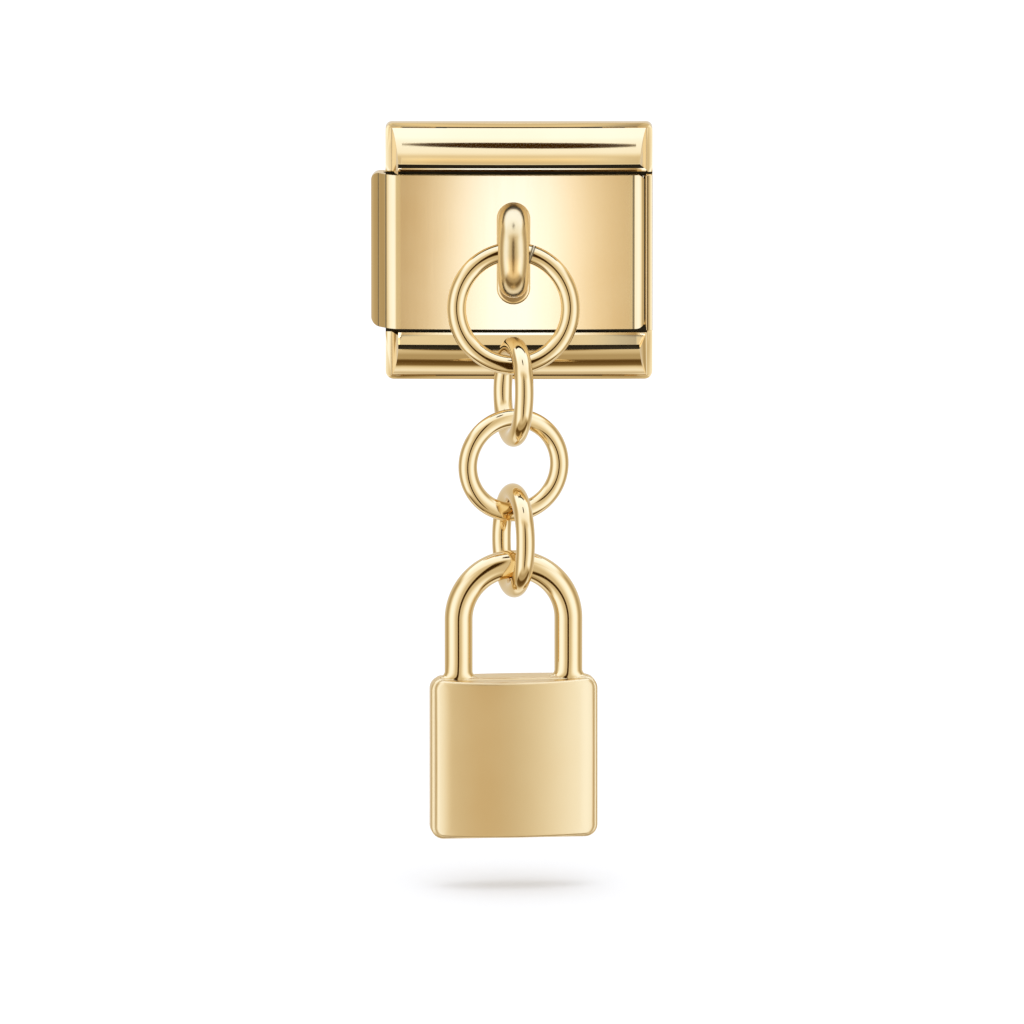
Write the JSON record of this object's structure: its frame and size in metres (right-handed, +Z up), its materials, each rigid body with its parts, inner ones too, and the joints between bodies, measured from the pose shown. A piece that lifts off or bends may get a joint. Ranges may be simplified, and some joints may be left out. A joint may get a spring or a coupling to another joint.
{
  "type": "padlock charm",
  "caption": "Gold-tone padlock charm hanging from a modular bracelet link by small round rings and a soldered loop.",
  "frame": {"origin": "on the link's back face, level with the middle of the face plate and behind the line down which the loop, rings and padlock hang", "axes": "+Z up, -Y towards the front that shows when worn, +X to the right seen from the front"},
  "size_m": [0.0101, 0.0058, 0.0254],
  "materials": {
    "polished_gold": "gold plated, polished",
    "satin_gold": "gold plated, softly polished"
  },
  "bodies": {
    "link": {"face_plate": "satin_gold", "rail_case": "polished_gold", "back_bracket": "polished_gold"},
    "drop": {"drop_ring": "polished_gold", "upper_connector": "polished_gold", "middle_ring": "polished_gold", "lower_connector": "polished_gold"},
    "lock": {"padlock": "satin_gold"}
  },
  "joints": [
    {"name": "drop_swing", "type": "hinge", "parent": "link", "child": "drop", "pos_m": [0, -0.0031, 0.00027], "axis": [-1, 0, 0], "range_deg": [0, 100]},
    {"name": "padlock_swing", "type": "hinge", "parent": "drop", "child": "lock", "pos_m": [0, -0.00383, -0.0109], "axis": [-0.9945, -0.1045, 0], "range_deg": [-75, 75]}
  ]
}
